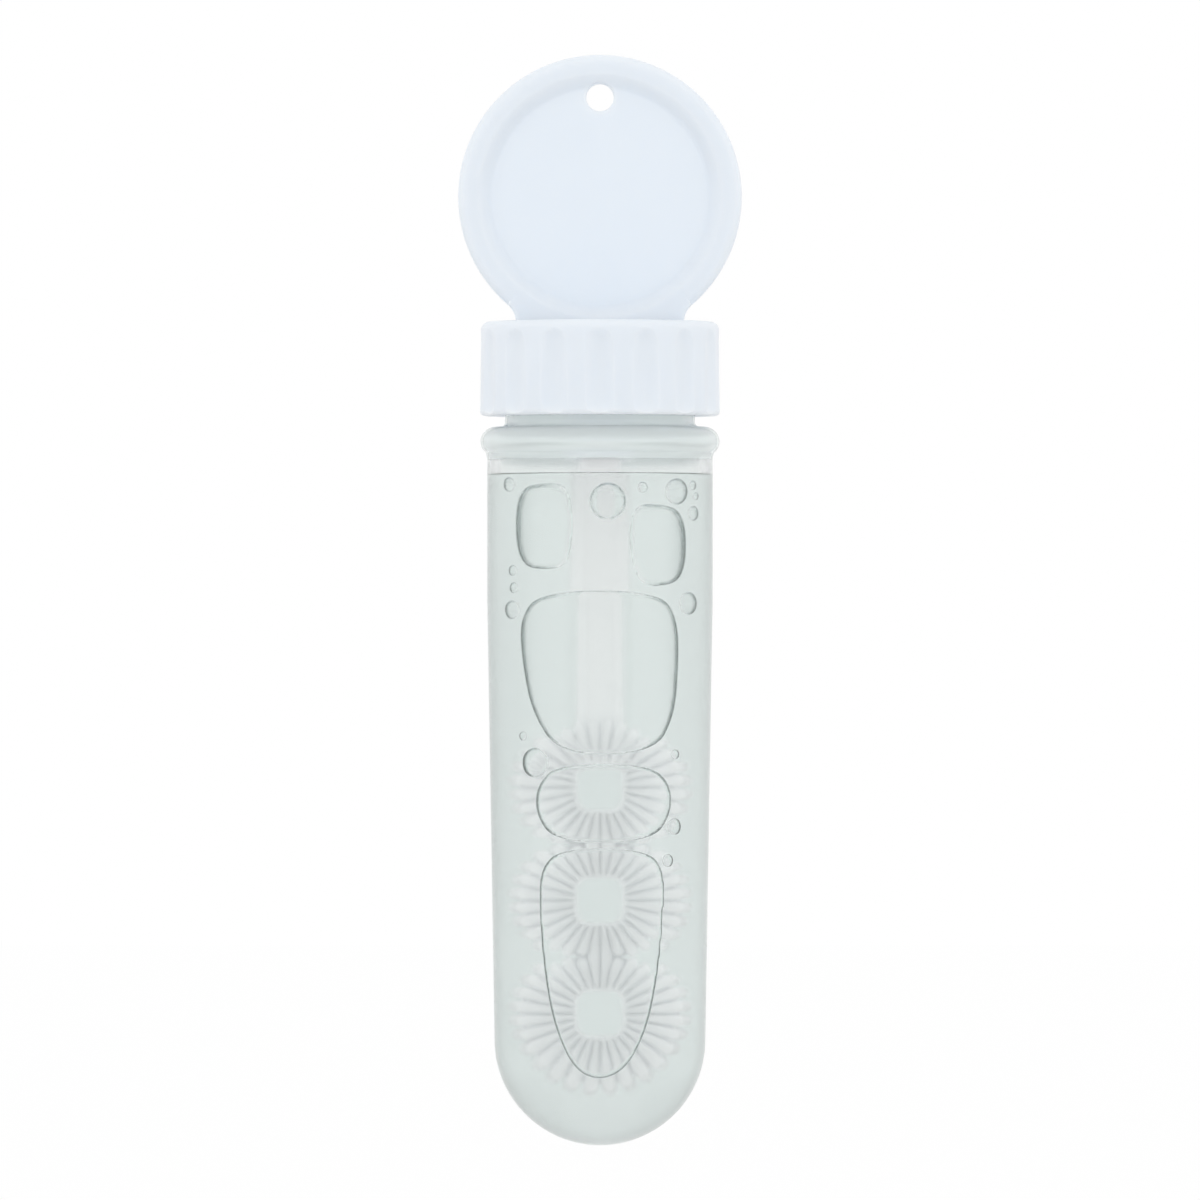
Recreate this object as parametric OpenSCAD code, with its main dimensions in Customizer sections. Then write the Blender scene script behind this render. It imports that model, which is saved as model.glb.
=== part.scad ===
// Pocket bubble wand: a round-ended tube of soap solution, closed by a screw cap that carries the wand.
// Millimetres. The tube's axis is Z, the origin is on that axis at the collar's underside, and the tag
// on the cap faces -Y.

/* [Tube] */
// Outer diameter of the straight band under the collar
tube_d = 24.8; // [23:0.1:28]
// Height of the straight band under the collar
band_h = 14.5; // [8:0.5:25]
// Length from the collar's underside to the tip of the round end
tube_len = 75.8; // [74:0.1:110]
// Outer diameter where the round end begins
tube_end_d = 23.2; // [21:0.1:26]
// Wall thickness of the tube
tube_wall = 1.3; // [0.9:0.1:1.8]
// Outer diameter of the collar bead
collar_d = 26.3; // [25.5:0.1:30]
// Height of the collar bead
collar_h = 3.2; // [2.4:0.1:4]
// Outer diameter of the neck, without its thread
neck_d = 20.9; // [19.5:0.1:22]
// Wall thickness of the neck
neck_wall = 1.2; // [0.9:0.1:1.4]
// Height of the neck's rim above the collar's underside
neck_h = 12.1; // [9:0.1:16]

/* [Cap] */
// Outer diameter of the cap at its lower edge
cap_d = 26.5; // [25.5:0.1:30]
// Outer diameter of the cap at its top
cap_top_d = 26.2; // [25.2:0.1:29]
// Gap between the collar and the cap's lower edge
cap_gap = 1.2; // [0.5:0.1:2.5]
// Thickness of the cap's top plate
cap_top_t = 1.65; // [1.2:0.05:3]
// Thickness of the cap's skirt at its lower edge
skirt_t = 1.5; // [1:0.1:1.8]
// Radius of the cap's top edge
cap_edge_r = 0.9; // [0.3:0.1:1.5]
// Number of grip flutes round the skirt
flute_count = 16; // [8:1:24]
// Depth of a grip flute
flute_depth = 0.22; // [0.1:0.02:0.4]
// Radius of the cutter that leaves a grip flute
flute_r = 5; // [3:0.5:8]
// Diameter of the socket boss under the cap's top
boss_d = 7.8; // [7:0.1:10]
// Length of the socket boss below the cap's top plate
boss_len = 12.7; // [9:0.1:16]

/* [Tag] */
// Diameter of the round tag
tag_d = 31.2; // [28:0.1:36]
// Height of the tag's centre above the cap's top
tag_rise = 13.75; // [12.8:0.05:15]
// Width of the tag's foot where it stands on the cap
foot_w = 18.5; // [14:0.1:22]
// Thickness of the tag's rim
tag_t = 3; // [2.4:0.1:4]
// Thickness of the tag's recessed web
tag_web_t = 1.4; // [1:0.1:1.8]
// Diameter of the round recess on both faces
recess_d = 25.4; // [22:0.1:26.4]
// Edge radius of the tag's rim
rim_edge_r = 0.9; // [0.3:0.1:1.1]
// Diameter of the hanging hole
hang_hole_d = 3; // [2:0.1:3.4]
// Height of the hanging hole above the tag's centre
hang_hole_rise = 10.9; // [8:0.1:10.9]

/* [Wand] */
// Width of the stem at the cap
stem_top_w = 4.4; // [3.6:0.1:5.2]
// Width of the stem at the first ring
stem_w = 5.2; // [4:0.1:6.4]
// Thickness of the stem's two rails
stem_t = 3; // [2.6:0.1:3.6]
// Thickness of the stem's web between its rails
stem_web_t = 1.1; // [0.8:0.1:1.6]
// Width of a rail
rail_w = 1; // [0.6:0.1:1.3]
// Width of the plug that is pressed into the cap's socket
plug_w = 4; // [3:0.1:4.4]
// Thickness of the plug
plug_t = 2.4; // [2:0.1:3]
// Length of the plug
plug_h = 7; // [4:0.5:8]
// Number of bubble rings
ring_count = 3; // [1:1:3]
// Outer diameter of a bubble ring over its petals
ring_d = 15; // [12.6:0.1:16]
// Width of the squarish hole in a bubble ring
ring_hole_d = 4.9; // [4:0.1:6]
// Corner radius of that hole
hole_corner_r = 1.3; // [0.8:0.1:1.8]
// Distance from one ring's centre to the next
ring_pitch = 12.4; // [11:0.1:12.8]
// Depth of the first ring's centre below the collar's underside
first_ring_drop = 36.4; // [28:0.1:37]
// Thickness of a ring over its petals
ring_t = 3; // [2:0.1:3.6]
// Thickness of the web that carries the petals
ring_web_t = 1.2; // [0.8:0.1:1.8]
// Number of petals round a ring
petal_count = 28; // [16:4:36]
// Gap between neighbouring petals at their tips
petal_gap = 0.35; // [0.2:0.05:0.6]
// Gap between neighbouring petals at their roots
petal_root_gap = 0.22; // [0.1:0.02:0.3]
// Free length of a petal beyond the web
petal_free = 0.9; // [0.5:0.1:1.5]
// Width of the plain rim round a ring's hole
hole_rim_w = 0.4; // [0.3:0.05:0.8]

/* [Wad and solution] */
// Thickness of the sealing wad
wad_t = 1; // [0.6:0.1:2]
// Depth of the solution's surface below the collar's underside
fill_drop = 2; // [2:0.5:4]
// Depth of the air pockets that lie along the front wall
pocket_depth = 3.6; // [2:0.1:5]

/* [Fits] */
// Clearance of the plug in its socket
socket_gap = 0.05; // [0.03:0.01:0.1]
// Clearance round the wad and round the wand in the solution
free_gap = 0.3; // [0.2:0.05:0.5]
// Clearance between the solution and the tube's wall
wetted_gap = 0.05; // [0.03:0.01:0.1]

/* [Hidden] */
$fn = 96;

// How far every cut runs past the face that it opens
overrun = 0.5;

// Tube
tube_r = tube_d / 2;
end_r = tube_end_d / 2;
end_z = end_r - tube_len;
collar_r = collar_d / 2;
neck_r = neck_d / 2;
bore_r = neck_r - neck_wall;
// The inner shoulder slopes at 45 degrees from the wall to the neck's bore, and drops by as much as the
// collar falls short of the tube
shoulder_rise = tube_r - tube_wall - bore_r;
shoulder_z = tube_wall - max(0, tube_r - collar_r) - shoulder_rise;

// Cap, from the lower edge of its skirt up to its top face
cap_r = cap_d / 2;
cap_top_r = cap_top_d / 2;
skirt_z = collar_h + cap_gap;
ceiling_z = neck_h + wad_t;
cap_z = ceiling_z + cap_top_t;
skirt_bore_r = cap_r - skirt_t;
boss_r = boss_d / 2;
boss_z = ceiling_z - boss_len;
// The flutes fade out this far from the skirt's edges
flute_margin = flute_r * sqrt(2 * flute_depth / flute_r);

// Tag
tag_r = tag_d / 2;
tag_z = cap_z + tag_rise;
recess_r = recess_d / 2;
foot_half = foot_w / 2;
// Fillet that leaves the disc smoothly and stands upright on the cap
fillet_fit_r = (pow(tag_rise, 2) + pow(foot_half, 2) - pow(tag_r, 2)) / (2 * (tag_r - foot_half));
fillet_r = max(rim_edge_r, fillet_fit_r);
fillet_x = foot_half + fillet_r;
fillet_join_share = tag_r / (tag_r + fillet_r);

// Wand
ring_r = ring_d / 2;
hole_r = ring_hole_d / 2;
hub_r = hole_r + hole_rim_w;
petal_step = 360 / petal_count;
half_step = PI / petal_count;
rings = [for (k = [0 : ring_count - 1]) k];

// Air pockets as the photograph shows them: the middle across as a share of the tube's radius, the top
// and bottom as shares of the tube's length, and the half width as a share of the tube's radius
pocket_shares = [
    [-0.48, 0.035, 0.165, 0.27],
    [0.52, 0.065, 0.185, 0.27],
    [0.02, 0.195, 0.43, 0.64],
    [0.01, 0.44, 0.545, 0.56],
    [0, 0.56, 0.885, 0.53],
];

// Corner radius of an air pocket as a share of the largest that fits
pocket_round_share = 0.85;

function ring_z(k) = -first_ring_drop - k * ring_pitch;

// Half width of a petal whose tip lies at a given radius, and of its root
function tip_half(reach) = (half_step * reach - petal_gap / 2) / (1 + half_step);
function root_half() = half_step * hub_r - petal_root_gap / 2;

// A petal at angle a from straight up stops short of the next ring, apart from the pair beside the axis,
// which runs on and links the rings
function meets_ring(k, a) = cos(a) > 0 ? k > 0 : k < ring_count - 1;
function links_ring(a) = abs(sin(a)) < sin(petal_step);
function petal_room(a) = ring_pitch / 2 + (links_ring(a) ? petal_gap : -petal_gap / 2);
function petal_reach(k, a) = meets_ring(k, a) ? min(ring_r, petal_room(a) / abs(cos(a))) : ring_r;

// Half section of the tube's round-ended body, moved inwards by inset and cut off at top_z
module body_section(inset, top_z) {
    intersection() {
        translate([0, end_z]) circle(end_r - inset);
        translate([0, end_z - end_r]) square([end_r, end_r]);
    }
    polygon([
        [0, end_z],
        [end_r - inset, end_z],
        [tube_r - inset, -band_h],
        [tube_r - inset, top_z],
        [0, top_z],
    ]);
}

// Half section of everything that fills the tube's outside: body, round collar bead and neck
module tube_outside() {
    bead_r = collar_h / 2;
    body_section(0, 0);
    square([collar_r - bead_r, collar_h]);
    translate([collar_r - bead_r, bead_r]) circle(bead_r);
    square([neck_r, neck_h]);
}

// Half section of the tube's hollow, with its shoulder and the neck's bore
module tube_inside() {
    body_section(tube_wall, shoulder_z);
    polygon([
        [0, shoulder_z],
        [bore_r + shoulder_rise, shoulder_z],
        [bore_r, shoulder_z + shoulder_rise],
        [bore_r, neck_h + overrun],
        [0, neck_h + overrun],
    ]);
}

// Outline of the whole wand from the front, grown by a gap, from its lowest petal up to top_z
module wand_outline(gap, top_z) {
    polygon([
        [-stem_w / 2 - gap, ring_z(0)],
        [stem_w / 2 + gap, ring_z(0)],
        [stem_top_w / 2 + gap, top_z],
        [-stem_top_w / 2 - gap, top_z],
    ]);
    for (k = rings)
        translate([0, ring_z(k)]) circle(ring_r + gap);
}

// Rounded outline of one air pocket from the front
module pocket_outline(shares) {
    half_w = shares[3] * tube_r;
    top_z = -shares[1] * tube_len;
    low_z = -shares[2] * tube_len;
    round_r = pocket_round_share * min(half_w, (top_z - low_z) / 2);
    mid_x = shares[0] * tube_r;
    for (x = [mid_x - half_w + round_r, mid_x + half_w - round_r])
        for (z = [top_z - round_r, low_z + round_r])
            translate([x, z]) circle(round_r);
    translate([mid_x - half_w, low_z + round_r]) square([2 * half_w, top_z - low_z - 2 * round_r]);
    translate([mid_x - half_w + round_r, low_z]) square([2 * (half_w - round_r), top_z - low_z]);
}

// Extrudes an outline drawn in X and Z, evenly to the front and the back
module standing(t) {
    rotate([90, 0, 0]) linear_extrude(height = t, center = true) children();
}

// Square outline round the origin with rounded corners
module squarish(half, corner) {
    inner = half - corner;
    for (x = [-inner, inner])
        for (z = [-inner, inner])
            translate([x, z]) circle(corner);
    square([2 * half, 2 * inner], center = true);
    square([2 * inner, 2 * half], center = true);
}

// One tapered petal with a round tip, drawn straight up from the ring's centre; its foot runs on into the
// hole, which trims it
module petal(reach) {
    tip = tip_half(reach);
    root = root_half();
    root_y = hub_r - hole_rim_w / 2;
    tip_y = reach - tip;
    lean = asin((tip - root) / (tip_y - root_y));
    foot_y = hole_r - hole_rim_w;
    foot = root * cos(lean) - (root_y - root * sin(lean) - foot_y) * tan(lean);
    polygon([
        [-foot, foot_y],
        [foot, foot_y],
        [tip * cos(lean), tip_y - tip * sin(lean)],
        [-tip * cos(lean), tip_y - tip * sin(lean)],
    ]);
    translate([0, tip_y]) circle(tip);
}

module bubble_tube() {
    color([0.86, 0.9, 0.89, 0.35]) rotate_extrude() difference() {
        tube_outside();
        tube_inside();
    }
}

module soap_solution() {
    pocket_floor = tube_r - tube_wall - pocket_depth;
    color([0.84, 0.88, 0.87, 0.5]) difference() {
        rotate_extrude() body_section(tube_wall + wetted_gap, -fill_drop);
        standing(max(stem_t, ring_t) + 2 * free_gap) wand_outline(free_gap, boss_z);
        translate([0, 0, boss_z - free_gap]) cylinder(h = boss_len, r = boss_r + free_gap);
        translate([0, -pocket_floor - tube_r / 2, 0]) standing(tube_r)
            for (shares = pocket_shares) pocket_outline(shares);
    }
}

module sealing_wad() {
    color([0.95, 0.96, 0.97]) translate([0, 0, neck_h]) difference() {
        cylinder(h = wad_t, r = skirt_bore_r - free_gap);
        translate([0, 0, -overrun]) cylinder(h = wad_t + 2 * overrun, r = boss_r + free_gap);
    }
}

// Grip flutes, each a groove that fades out at both ends
module flutes() {
    low_z = skirt_z + flute_margin;
    high_z = cap_z - cap_edge_r - flute_margin;
    for (i = [0 : flute_count - 1])
        rotate(i * 360 / flute_count) translate([0, -cap_top_r - flute_r + flute_depth, 0]) {
            translate([0, 0, low_z]) cylinder(h = high_z - low_z, r = flute_r);
            for (z = [low_z, high_z]) translate([0, 0, z]) sphere(flute_r);
        }
}

// Cap without its tag: skirt, top plate and socket boss
module cap_shell() {
    difference() {
        rotate_extrude() {
            polygon([
                [0, skirt_z],
                [cap_r, skirt_z],
                [cap_top_r, cap_z - cap_edge_r],
                [cap_top_r - cap_edge_r, cap_z],
                [0, cap_z],
            ]);
            translate([cap_top_r - cap_edge_r, cap_z - cap_edge_r]) circle(cap_edge_r);
        }
        translate([0, 0, skirt_z - overrun]) cylinder(h = ceiling_z - skirt_z + overrun, r = skirt_bore_r);
        flutes();
    }
    translate([0, 0, boss_z]) cylinder(h = boss_len, r = boss_r);
}

// Round tag with a raised rim round a recess on both faces
module tag_disc() {
    mid_r = (recess_r + tag_r) / 2;
    rotate([90, 0, 0]) rotate_extrude() {
        for (r = [recess_r + rim_edge_r, tag_r - rim_edge_r])
            for (side = [-1, 1])
                translate([r, side * (tag_t / 2 - rim_edge_r)]) circle(rim_edge_r);
        translate([recess_r, rim_edge_r - tag_t / 2]) square([tag_r - recess_r, tag_t - 2 * rim_edge_r]);
        translate([recess_r + rim_edge_r, -tag_t / 2]) square([tag_r - recess_r - 2 * rim_edge_r, tag_t]);
        translate([0, -tag_web_t / 2]) square([mid_r, tag_web_t]);
    }
}

// Foot that carries the tag on the cap, filleted into the disc on both sides
module tag_foot() {
    join_x = fillet_x * fillet_join_share;
    join_z = tag_z - tag_rise * fillet_join_share;
    sink = cap_top_t / 2;
    standing(tag_t) difference() {
        translate([-join_x, cap_z - sink]) square([2 * join_x, join_z - cap_z + sink]);
        for (side = [-1, 1]) translate([side * fillet_x, cap_z]) circle(fillet_r);
        translate([0, tag_z]) circle((recess_r + tag_r) / 2);
    }
}

module screw_cap() {
    color([0.93, 0.95, 0.97]) difference() {
        union() {
            cap_shell();
            difference() {
                translate([0, 0, tag_z]) tag_disc();
                translate([-tag_r, -tag_t, cap_z - cap_top_t / 2 - tag_r]) cube([2 * tag_r, 2 * tag_t, tag_r]);
            }
            tag_foot();
        }
        translate([0, 0, tag_z + hang_hole_rise]) rotate([90, 0, 0])
            cylinder(h = tag_t + 2 * overrun, r = hang_hole_d / 2, center = true);
        translate([-plug_w / 2 - socket_gap, -plug_t / 2 - socket_gap, boss_z - overrun])
            cube([plug_w + 2 * socket_gap, plug_t + 2 * socket_gap, plug_h + socket_gap + overrun]);
    }
}

// Stem with two rails and a thinner web, and the plug on top of it
module stem() {
    top = stem_top_w / 2;
    foot = stem_w / 2;
    foot_z = ring_z(0) + hole_r + hole_rim_w / 2;
    difference() {
        standing(stem_t) polygon([[-foot, foot_z], [foot, foot_z], [top, boss_z], [-top, boss_z]]);
        for (side = [-1, 1])
            translate([0, side * (stem_web_t + stem_t) / 2, 0]) standing(stem_t) polygon([
                [rail_w - foot, foot_z - overrun],
                [foot - rail_w, foot_z - overrun],
                [top - rail_w, boss_z - rail_w],
                [rail_w - top, boss_z - rail_w],
            ]);
    }
    translate([-plug_w / 2, -plug_t / 2, boss_z - rail_w]) cube([plug_w, plug_t, rail_w + plug_h]);
}

// One bubble ring: a web with petals standing out from both faces, round a plain-rimmed hole
module bubble_ring(k) {
    standing(ring_web_t) circle(ring_r - petal_free);
    standing(ring_t) {
        squarish(hub_r, hole_corner_r + hole_rim_w);
        for (i = [0 : petal_count - 1]) {
            a = (i + 1 / 2) * petal_step;
            rotate(a) petal(petal_reach(k, a));
        }
    }
}

module wand() {
    color([0.95, 0.96, 0.95]) difference() {
        union() {
            stem();
            for (k = rings) translate([0, 0, ring_z(k)]) bubble_ring(k);
        }
        for (k = rings)
            translate([0, 0, ring_z(k)]) standing(ring_t + stem_t) squarish(hole_r, hole_corner_r);
    }
}

bubble_tube();
soap_solution();
sealing_wad();
screw_cap();
wand();
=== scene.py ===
"""Dressed scene of a pocket bubble wand.

A clear round-ended tube of soap solution is closed by a white screw cap. The cap carries a round tag
above and, below, a wand of three ribbed rings that hangs in the solution.
"""
import logging
import math
from dataclasses import dataclass, replace
from enum import Enum
from typing import Callable

import bmesh
import bpy
from mathutils import Matrix, Vector


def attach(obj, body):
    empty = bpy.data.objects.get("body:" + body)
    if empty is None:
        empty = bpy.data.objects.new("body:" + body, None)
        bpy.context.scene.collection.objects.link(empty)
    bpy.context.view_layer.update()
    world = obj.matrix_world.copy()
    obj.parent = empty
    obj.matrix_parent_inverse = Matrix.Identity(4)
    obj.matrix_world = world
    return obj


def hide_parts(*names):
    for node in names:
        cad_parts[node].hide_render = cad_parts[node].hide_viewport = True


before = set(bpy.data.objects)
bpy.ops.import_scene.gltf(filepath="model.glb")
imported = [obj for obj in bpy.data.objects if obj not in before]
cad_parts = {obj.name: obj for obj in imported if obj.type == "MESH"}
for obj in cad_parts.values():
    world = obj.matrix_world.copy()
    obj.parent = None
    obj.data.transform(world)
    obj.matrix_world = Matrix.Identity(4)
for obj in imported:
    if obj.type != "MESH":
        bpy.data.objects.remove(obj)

LOG = logging.getLogger("bubble_wand")
MM = 0.001
WELD_MM = 0.002
SLIVER_MM = 0.001
MIX_A = 6
MIX_B = 7
MIX_RESULT = 2
Point = tuple[float, float]
Colour = tuple[float, float, float]


class Axis(Enum):
    """Axis that a profile is spun about."""

    UPRIGHT = "upright"
    FACING = "facing"


class Mix(Enum):
    """How one solid is combined with another."""

    ADD = "UNION"
    TAKE = "DIFFERENCE"
    KEEP = "INTERSECT"


def select_only(obj: bpy.types.Object) -> None:
    """Makes one object the only selected one and the active one.

    Args:
        obj: The object to select.
    """
    bpy.ops.object.select_all(action="DESELECT")
    obj.select_set(True)
    bpy.context.view_layer.objects.active = obj


def edit(obj: bpy.types.Object) -> None:
    """Opens one object in edit mode with all of it selected.

    Args:
        obj: The object to edit.
    """
    select_only(obj)
    bpy.ops.object.mode_set(mode="EDIT")
    bpy.ops.mesh.select_mode(type="VERT")
    bpy.ops.mesh.select_all(action="SELECT")


def leave() -> None:
    """Goes back to object mode."""
    bpy.ops.object.mode_set(mode="OBJECT")


def pick(obj: bpy.types.Object, test: Callable[[Vector], bool]) -> None:
    """Selects the vertices of the edited object whose place passes a test.

    Args:
        obj: The object in edit mode.
        test: Says whether a vertex at this place, in millimetres, is selected.
    """
    bpy.ops.mesh.select_all(action="DESELECT")
    shape = bmesh.from_edit_mesh(obj.data)
    for vert in shape.verts:
        vert.select_set(test(vert.co / MM))
    shape.select_flush_mode()
    bmesh.update_edit_mesh(obj.data)


def pick_faces(obj: bpy.types.Object, test: Callable[[Vector], bool]) -> None:
    """Selects the faces of the edited object whose normal passes a test.

    Args:
        obj: The object in edit mode.
        test: Says whether a face with this normal is selected.
    """
    bpy.ops.mesh.select_mode(type="FACE")
    bpy.ops.mesh.select_all(action="DESELECT")
    shape = bmesh.from_edit_mesh(obj.data)
    shape.normal_update()
    for face in shape.faces:
        face.select_set(test(face.normal))
    bmesh.update_edit_mesh(obj.data)


def trace(name: str, points: list[Vector]) -> bpy.types.Object:
    """Draws a chain of edges through points, by extruding one vertex along them.

    Args:
        name: Name of the new object.
        points: The places that the chain goes through, in millimetres.

    Returns:
        The object, left in edit mode.
    """
    bpy.ops.object.select_all(action="DESELECT")
    bpy.ops.mesh.primitive_plane_add(size=MM)
    obj = bpy.context.object
    obj.name = name
    obj.data.name = name
    edit(obj)
    bpy.ops.mesh.merge(type="CENTER")
    bpy.ops.transform.translate(value=points[0] * MM)
    for last, here in zip(points, points[1:]):
        bpy.ops.mesh.extrude_vertices_move(TRANSFORM_OT_translate={"value": (here - last) * MM})
    bpy.ops.mesh.select_all(action="SELECT")
    return obj


def lathe(name: str, profile: list[Point], steps: int, axis: Axis = Axis.UPRIGHT) -> bpy.types.Object:
    """Spins a half section into a closed solid.

    Args:
        name: Name of the new object.
        profile: Radius and height of each point of the section, in millimetres.
        steps: Number of steps round the turn.
        axis: The axis that the section is spun about.

    Returns:
        The solid, in object mode.
    """
    if axis is Axis.UPRIGHT:
        points = [Vector((r, 0, h)) for r, h in profile]
        line = (0, 0, 1)
    else:
        points = [Vector((r, h, 0)) for r, h in profile]
        line = (0, 1, 0)
    obj = trace(name, points)
    bpy.ops.mesh.spin(steps=steps, angle=math.tau, center=(0, 0, 0), axis=line)
    tidy_mesh()
    return obj


def tidy_mesh() -> None:
    """Merges doubles and points the normals outwards in edit mode, then leaves it."""
    bpy.ops.mesh.select_all(action="SELECT")
    bpy.ops.mesh.remove_doubles(threshold=WELD_MM * MM)
    bpy.ops.mesh.dissolve_degenerate(threshold=SLIVER_MM * MM)
    bpy.ops.mesh.normals_make_consistent(inside=False)
    leave()


def plate(name: str, outline: list[Point], front: float, back: float) -> bpy.types.Object:
    """Extrudes a closed outline, drawn in X and Z, from front to back.

    Args:
        name: Name of the new object.
        outline: The outline's points, in millimetres.
        front: Y of the front face, in millimetres.
        back: Y of the back face, in millimetres.

    Returns:
        The plate, in object mode.
    """
    obj = trace(name, [Vector((x, front, z)) for x, z in [*outline, outline[0]]])
    bpy.ops.mesh.remove_doubles(threshold=WELD_MM * MM)
    bpy.ops.mesh.edge_face_add()
    bpy.ops.mesh.extrude_region_move(TRANSFORM_OT_translate={"value": (0, (back - front) * MM, 0)})
    tidy_mesh()
    return obj


def block(name: str, width: float, depth: float, low: float, high: float) -> bpy.types.Object:
    """Makes a square-edged block on the tube's axis.

    Args:
        name: Name of the new object.
        width: Its size across, in millimetres.
        depth: Its size from front to back, in millimetres.
        low: Height of its foot, in millimetres.
        high: Height of its top, in millimetres.

    Returns:
        The block, in object mode.
    """
    half = width / 2
    return plate(name, [(-half, low), (half, low), (half, high), (-half, high)], -depth / 2, depth / 2)


def arc(centre: Point, radius: float, start: float, end: float, steps: int) -> list[Point]:
    """Lists points along an arc.

    Args:
        centre: The arc's centre, in millimetres.
        radius: Its radius, in millimetres.
        start: Angle of its first point in degrees, counted from the first axis.
        end: Angle of its last point in degrees.
        steps: Number of steps between them.

    Returns:
        The points, both ends included.
    """
    angles = [math.radians(start + (end - start) * i / steps) for i in range(steps + 1)]
    return [(centre[0] + radius * math.cos(a), centre[1] + radius * math.sin(a)) for a in angles]


def squarish(half: float, corner: float, steps: int = 6) -> list[Point]:
    """Lists the outline of a square with rounded corners round the origin.

    Args:
        half: Half its width, in millimetres.
        corner: Its corner radius, in millimetres.
        steps: Number of steps round a corner.

    Returns:
        The outline's points.
    """
    inner = half - corner
    points: list[Point] = []
    for turn, (x, z) in enumerate([(inner, inner), (-inner, inner), (-inner, -inner), (inner, -inner)]):
        points += arc((x, z), corner, 90 * turn, 90 * turn + 90, steps)
    return points


def smooth_curve(points: list[Point], rounds: int = 3) -> list[Point]:
    """Rounds a closed outline off by cutting its corners.

    Args:
        points: The outline's points.
        rounds: How often the corners are cut.

    Returns:
        The rounded outline.
    """
    for _ in range(rounds):
        cut: list[Point] = []
        for (ax, az), (bx, bz) in zip(points, [*points[1:], points[0]]):
            cut.append((0.75 * ax + 0.25 * bx, 0.75 * az + 0.25 * bz))
            cut.append((0.25 * ax + 0.75 * bx, 0.25 * az + 0.75 * bz))
        points = cut
    return points


def apply(obj: bpy.types.Object, kind: str, **settings: object) -> None:
    """Adds one modifier to an object and applies it.

    Args:
        obj: The object.
        kind: Blender's name of the modifier.
        settings: The modifier's own settings.
    """
    select_only(obj)
    modifier = obj.modifiers.new(kind.lower(), kind)
    for key, value in settings.items():
        setattr(modifier, key, value)
    bpy.ops.object.modifier_apply(modifier=modifier.name)


def combine(obj: bpy.types.Object, other: bpy.types.Object, mix: Mix) -> None:
    """Combines a solid with another, which is used up.

    Args:
        obj: The solid that is kept.
        other: The solid that is added, taken away or intersected.
        mix: Which of these is done.
    """
    apply(obj, "BOOLEAN", operation=mix.value, solver="MANIFOLD", object=other)
    bpy.data.objects.remove(other, do_unlink=True)


def copy_of(obj: bpy.types.Object, place: Matrix) -> bpy.types.Object:
    """Copies an object with a mesh of its own and moves that mesh.

    Args:
        obj: The object to copy.
        place: The move, in metres.

    Returns:
        The copy.
    """
    twin = obj.copy()
    twin.data = obj.data.copy()
    bpy.context.scene.collection.objects.link(twin)
    twin.data.transform(place)
    return twin


def join(parts: list[bpy.types.Object], name: str) -> bpy.types.Object:
    """Joins objects into one.

    Args:
        parts: The objects, the first of which takes in the others.
        name: Name of the joined object.

    Returns:
        The joined object.
    """
    select_only(parts[0])
    for part in parts[1:]:
        part.select_set(True)
    bpy.ops.object.join()
    parts[0].name = name
    parts[0].data.name = name
    return parts[0]


def smooth(obj: bpy.types.Object, degrees: float) -> None:
    """Shades an object smooth up to an angle.

    Args:
        obj: The object.
        degrees: Edges sharper than this stay sharp.
    """
    select_only(obj)
    bpy.ops.object.shade_smooth_by_angle(angle=math.radians(degrees))


def background_rays(tree: bpy.types.NodeTree) -> bpy.types.NodeSocket:
    """Adds the test for the rays that see the background: direct, mirrored or through clear pieces.

    Args:
        tree: The nodes that the test is added to.

    Returns:
        The socket that is 1 for these rays and 0 for all others.
    """
    path = tree.nodes.new("ShaderNodeLightPath")
    seen = tree.nodes.new("ShaderNodeMath")
    seen.operation = "MAXIMUM"
    tree.links.new(path.outputs["Is Camera Ray"], seen.inputs[0])
    tree.links.new(path.outputs["Is Glossy Ray"], seen.inputs[1])
    clear = tree.nodes.new("ShaderNodeMath")
    clear.operation = "MAXIMUM"
    tree.links.new(seen.outputs[0], clear.inputs[0])
    tree.links.new(path.outputs["Is Transmission Ray"], clear.inputs[1])
    return clear.outputs[0]


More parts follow.
